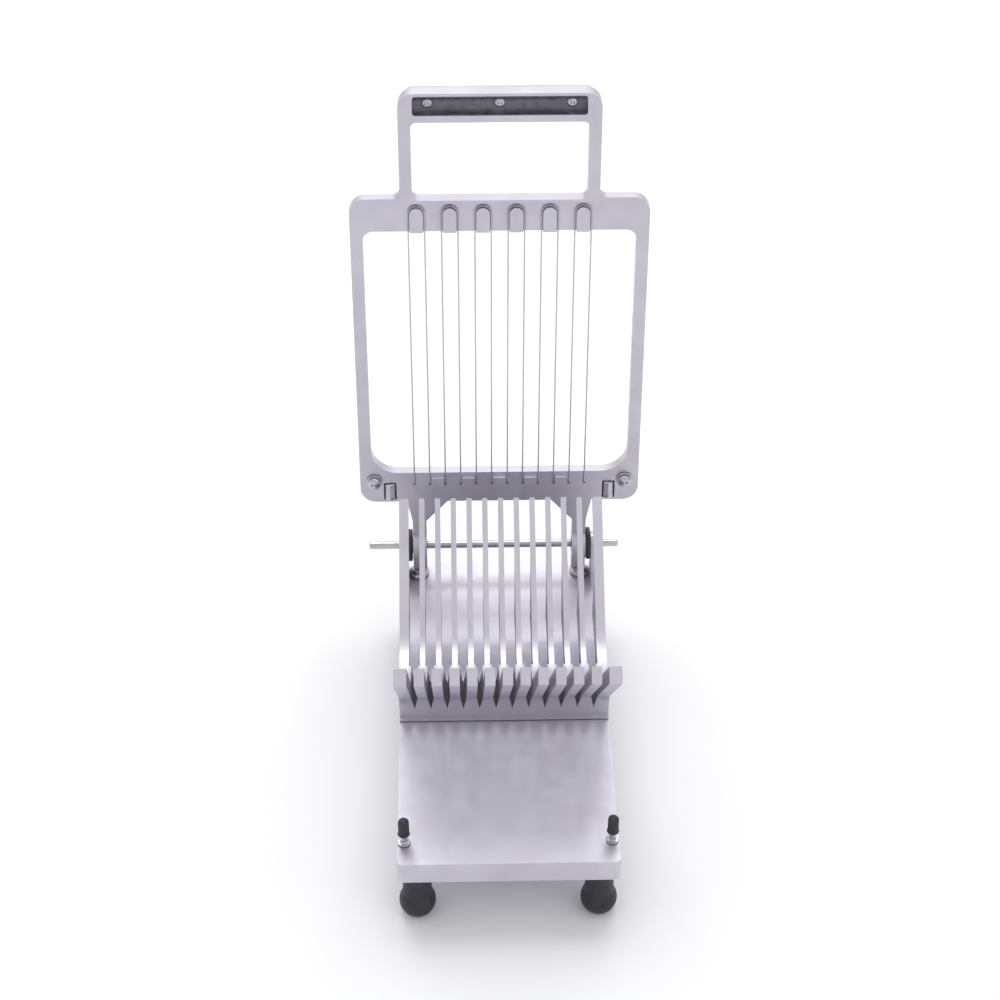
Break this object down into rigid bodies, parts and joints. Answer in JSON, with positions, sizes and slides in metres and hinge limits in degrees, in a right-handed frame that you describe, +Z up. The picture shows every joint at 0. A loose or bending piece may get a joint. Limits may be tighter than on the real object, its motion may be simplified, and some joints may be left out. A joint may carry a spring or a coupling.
{
  "type": "egg slicer",
  "caption": "Hinged egg slicer: a handled wire frame strung with fine parallel wires closes over a slotted V-shaped cradle on a flat footed base.",
  "frame": {"origin": "on the standing surface, below the middle of the open slicer's box", "axes": "+Z up, X across the slicer along the pivot rod, -Y towards the open front plate where the user stands"},
  "size_m": [0.1144, 0.1865, 0.2509],
  "materials": {
    "casting": "satin, lightly blasted cast aluminium",
    "steel": "bright turned stainless steel",
    "wire": "drawn stainless steel wire",
    "rubber": "dull black moulded rubber",
    "nylon": "satin black moulded nylon"
  },
  "bodies": {
    "base": {"base_casting": "casting", "cradle": "casting", "pivot_rod": "steel", "front_foot_left": "rubber", "rear_foot_left": "rubber", "rear_foot_screw_left": "steel", "bumper_post_left": "steel", "bumper_cap_left": "rubber", "front_foot_right": "rubber", "rear_foot_right": "rubber", "rear_foot_screw_right": "steel", "bumper_post_right": "steel", "bumper_cap_right": "rubber", "cradle_screw_1": "steel", "cradle_screw_2": "steel", "cradle_screw_3": "steel"},
    "frame": {"wire_frame": "casting", "grip_cover": "casting", "pivot_bushing_left": "nylon", "clamp_washer_left": "steel", "clamp_screw_left": "steel", "tension_barrel_left": "steel", "pivot_bushing_right": "nylon", "clamp_washer_right": "steel", "clamp_screw_right": "steel", "tension_barrel_right": "steel", "wire_loop_1": "wire", "wire_loop_2": "wire", "wire_loop_3": "wire", "wire_loop_4": "wire", "wire_loop_5": "wire", "wire_loop_6": "wire", "grip_screw_1": "steel", "grip_screw_2": "steel", "grip_screw_3": "steel"}
  },
  "joints": [
    {"name": "frame_hinge", "type": "hinge", "parent": "base", "child": "frame", "pos_m": [0, 0.0722, 0.0464], "axis": [1, 0, 0], "range_deg": [0, 94]}
  ]
}
